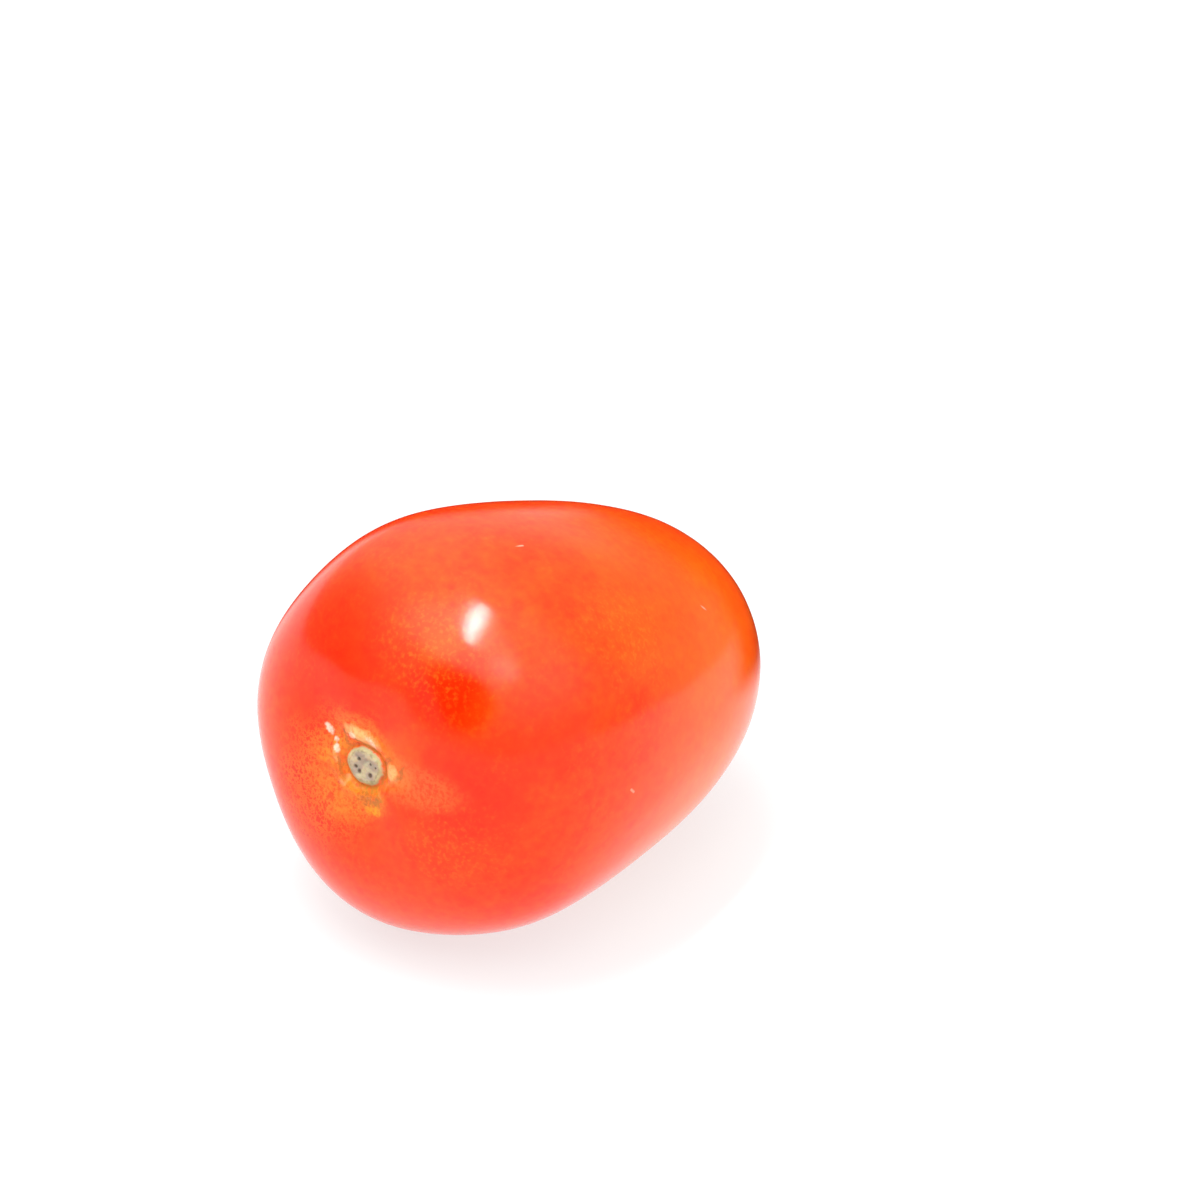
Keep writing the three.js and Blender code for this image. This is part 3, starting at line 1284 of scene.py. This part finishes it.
@dataclass(frozen=True)
class Flag:
    """A dark or grey oval card with soft edges, standing beside the fruit.

    Only reflections see it, as a studio keeps glare off a glossy skin. Its middle is in the row frame,
    it is turned about the vertical by degrees, and its height is over its middle. Its foot fades over
    the first centimetre above the floor. Lengths are in metres.
    """

    name: str
    middle: Place
    facing: float
    half_width: float
    height: float
    grey: float = 0.02
    foot: float = 0.012

    def material(self) -> bpy.types.Material:
        """The card's matt finish, which fades to clear at its edge and its foot.

        Returns:
            The material.
        """
        made, graph = new_material(self.name)
        across, _, up = graph.axes(graph.node("ShaderNodeTexCoord").outputs["Object"])
        away = (across / self.half_width) ** 2 + (up / self.height) ** 2
        card = graph.node("ShaderNodeBsdfDiffuse", {}, {"Color": (self.grey,) * 3 + (1.0,)})
        clear = graph.node("ShaderNodeBsdfTransparent")
        solid = away.rise(1.0, 0.45) * (up + self.middle[2]).rise(0.0, self.foot)
        sockets = {0: solid, 1: clear.outputs[0], 2: card.outputs[0]}
        mixed = graph.node("ShaderNodeMixShader", {}, sockets)
        graph.node("ShaderNodeOutputMaterial", {}, {"Surface": mixed.outputs[0]})
        return made

    def build(self) -> bpy.types.Object:
        """Stands the card on the floor, or cuts it off there.

        Returns:
            The card.
        """
        side, top = self.half_width, self.height
        low = -min(top, self.middle[2])
        corners = [(-side, 0, low), (side, 0, low), (side, 0, top), (-side, 0, top)]
        card = stand(self.name, corners, self.material())
        turn = Matrix.Rotation(math.radians(self.facing), 4, "Z")
        card.matrix_world = Matrix.Translation(self.middle) @ turn
        card.visible_camera = False
        card.visible_diffuse = False
        card.visible_shadow = False
        card.visible_transmission = False
        return card


@dataclass(frozen=True)
class Studio:
    """A plain pale floor, lit a little from below, inside a pale tent with a soft lamp."""

    floor_half: float = 4.0
    floor_grey: float = 0.26
    floor_glow: float = 0.7
    horizon: float = 0.65
    zenith: float = 1.75
    zones: tuple[Zone, ...] = (
        Zone((-0.90, -0.13, 0.42), 13, 23, -1.0),
        Zone((0.89, -0.12, 0.55), 12, 42, -0.5),
        Zone((-0.50, 0.85, 0.10), 15, 50, -0.6),
        Zone((-0.16, -0.92, 0.34), 22, 45, 0.3),
        Zone((-0.50, -0.08, 0.86), 16, 32, 0.9),
        Zone((-0.45, -0.36, 0.82), 4, 12, 0.75),
    )
    lamps: tuple[Softbox, ...] = (
        Softbox("key_softbox", (-0.19, 0.02, 0.98), 1.0, 0.68, 0.09, (0.983, 0.184, 0), 7.4),
    )
    flags: tuple[Flag, ...] = (
        Flag("flag_right", (0.052, 0.009, 0.0), 99, 0.044, 0.062),
        Flag("flag_back", (0.038, 0.050, 0.0), 150, 0.042, 0.062),
        Flag("flag_side", (0.107, -0.090, 0.022), 50, 0.13, 0.022, 0.4),
    )

    def floor(self) -> bpy.types.Object:
        """Lays the floor, which can be seen through from below.

        Returns:
            The floor.
        """
        made, graph = new_material("floor_paper")
        grey = (self.floor_grey,) * 3 + (1.0,)
        matt = graph.node("ShaderNodeBsdfDiffuse", {}, {"Color": grey, "Roughness": 0.5})
        glow = graph.node("ShaderNodeEmission", {}, {"Strength": self.floor_glow})
        paper = graph.node("ShaderNodeAddShader", {}, {0: matt.outputs[0], 1: glow.outputs[0]})
        clear = graph.node("ShaderNodeBsdfTransparent")
        side = graph.node("ShaderNodeNewGeometry")
        sockets = {0: side.outputs["Backfacing"], 1: paper.outputs[0], 2: clear.outputs[0]}
        mixed = graph.node("ShaderNodeMixShader", {}, sockets)
        graph.node("ShaderNodeOutputMaterial", {}, {"Surface": mixed.outputs[0]})
        half = self.floor_half
        corners = [(-half, -half, 0), (half, -half, 0), (half, half, 0), (-half, half, 0)]
        return stand("floor", corners, made)

    def tent(self) -> bpy.types.World:
        """Lights the surroundings: paler overhead, and dark where nobody lit the room.

        Returns:
            The world.
        """
        world = bpy.data.worlds.new("tent")
        world.use_nodes = True
        graph = Graph(world.node_tree)
        way = graph.node("ShaderNodeTexCoord").outputs["Generated"]
        shine = graph.blend(graph.axes(way)[2].rise(0.0, 1.0), self.horizon, self.zenith)
        for zone in self.zones:
            middle = tuple(Vector(zone.towards).normalized())
            outside, inside = math.radians(zone.outside), math.radians(zone.inside)
            share = graph.measure("DOT_PRODUCT", way, middle).rise(math.cos(outside), math.cos(inside))
            shine = shine * (1 + share * zone.change)
        light = graph.node("ShaderNodeBackground", {}, {"Color": (1, 1, 1, 1), "Strength": shine})
        graph.node("ShaderNodeOutputWorld", {}, {"Surface": light.outputs[0]})
        bpy.context.scene.world = world
        return world

    def build(self, target: Vector) -> None:
        """Makes the floor, the tent, the cards and the lamp, and shows the light as it is.

        Args:
            target: The middle of the fruit.
        """
        self.floor()
        self.tent()
        for flag in self.flags:
            flag.build()
        for lamp in self.lamps:
            lamp.build(target)
        settings = bpy.context.scene.view_settings
        settings.view_transform = "Standard"
        settings.look = "None"
        settings.exposure = 0.0
        settings.gamma = 1.0


@dataclass(frozen=True)
class PhotoCamera:
    """The camera at the photograph's viewing angle. Lengths are in metres, the lens in millimetres."""

    azimuth: float = math.radians(-48.234)
    elevation: float = math.radians(32.0)
    distance: float = 0.58
    lens: float = 144.135
    sensor: float = 36.0
    middle_height: float = 25 * MM
    aim_right: float = 10.268 * MM
    aim_up: float = 12.429 * MM

    def build(self) -> bpy.types.Object:
        """Sets up the camera and makes it the scene's own.

        Returns:
            The camera.
        """
        turn, rise = self.azimuth, self.elevation
        right = Vector((math.cos(turn), math.sin(turn), 0))
        level = math.cos(rise)
        back = Vector((math.sin(turn) * level, -math.cos(turn) * level, math.sin(rise)))
        up = back.cross(right)
        aim = Vector((0, 0, self.middle_height)) + right * self.aim_right + up * self.aim_up
        camera = bpy.data.cameras.new("photo_camera")
        camera.lens = self.lens
        camera.sensor_width = self.sensor
        camera.clip_start = 0.01
        held = bpy.data.objects.new("photo_camera", camera)
        axes = Matrix((right, up, back)).transposed().to_4x4()
        held.matrix_world = Matrix.Translation(aim + back * self.distance) @ axes
        bpy.context.scene.collection.objects.link(held)
        bpy.context.scene.camera = held
        return held


def main() -> None:
    """Builds the camera, the fruit and the studio, in that order, and reports each piece."""
    logging.basicConfig(level=logging.INFO, format="%(name)s: %(message)s")
    PhotoCamera().build()
    piece = Tomato(FruitForm(), FineRelief(), SkinNet()).build()
    log.info("%s has %d faces", piece.name, len(piece.data.polygons))
    low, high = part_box(TOMATO_NODE)
    studio = Studio()
    studio.build((low + high) / 2)
    log.info("the studio has %d cards and %d lamp", len(studio.flags), len(studio.lamps))


if __name__ == "__main__":
    main()
